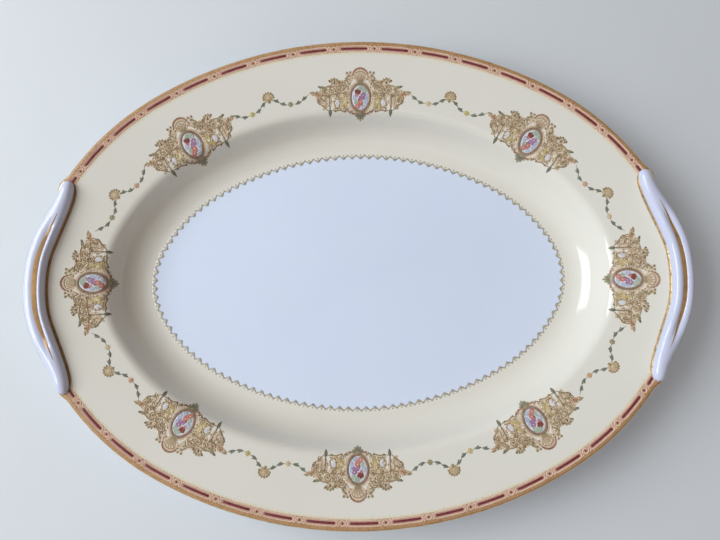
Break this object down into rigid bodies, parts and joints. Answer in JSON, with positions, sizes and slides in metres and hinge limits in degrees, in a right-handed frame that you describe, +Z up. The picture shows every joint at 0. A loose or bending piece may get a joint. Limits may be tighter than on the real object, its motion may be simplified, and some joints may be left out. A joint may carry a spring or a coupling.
{
  "type": "oval china serving platter",
  "caption": "Large oval china serving platter with two closed crescent handles, an ivory border with floral medallions and garlands, and a gilt rim.",
  "frame": {"origin": "middle of the foot ring, on the table", "axes": "+X towards the right-hand handle, +Y towards the back long side, +Z up out of the well"},
  "size_m": [0.414, 0.3058, 0.0407],
  "materials": {
    "white_china": "gloss",
    "ivory_glaze": "gloss",
    "gilding": "gloss",
    "tan_print": "gloss",
    "maroon_enamel": "gloss",
    "leaf_enamel": "gloss"
  },
  "bodies": {
    "root": {"platter_body": "white_china", "handle_left": "white_china", "handle_right": "white_china", "ivory_ground": "ivory_glaze", "rim_gilding": "gilding", "border_band_front": "tan_print", "border_band_back": "tan_print", "border_panels_front": "maroon_enamel", "border_panels_back": "maroon_enamel", "border_studs_front": "gilding", "border_studs_back": "gilding", "verge_lace": "tan_print", "handle_gilding_left": "gilding", "handle_gilding_right": "gilding", "medallion_right": "tan_print", "medallion_back_right": "tan_print", "medallion_back": "tan_print", "medallion_back_left": "tan_print", "medallion_left": "tan_print", "medallion_front_left": "tan_print", "medallion_front": "tan_print", "medallion_front_right": "tan_print", "garland_right_back": "leaf_enamel", "garland_back_right": "leaf_enamel", "garland_back_left": "leaf_enamel", "garland_left_back": "leaf_enamel", "garland_left_front": "leaf_enamel", "garland_front_left": "leaf_enamel", "garland_front_right": "leaf_enamel", "garland_right_front": "leaf_enamel"}
  },
  "joints": []
}
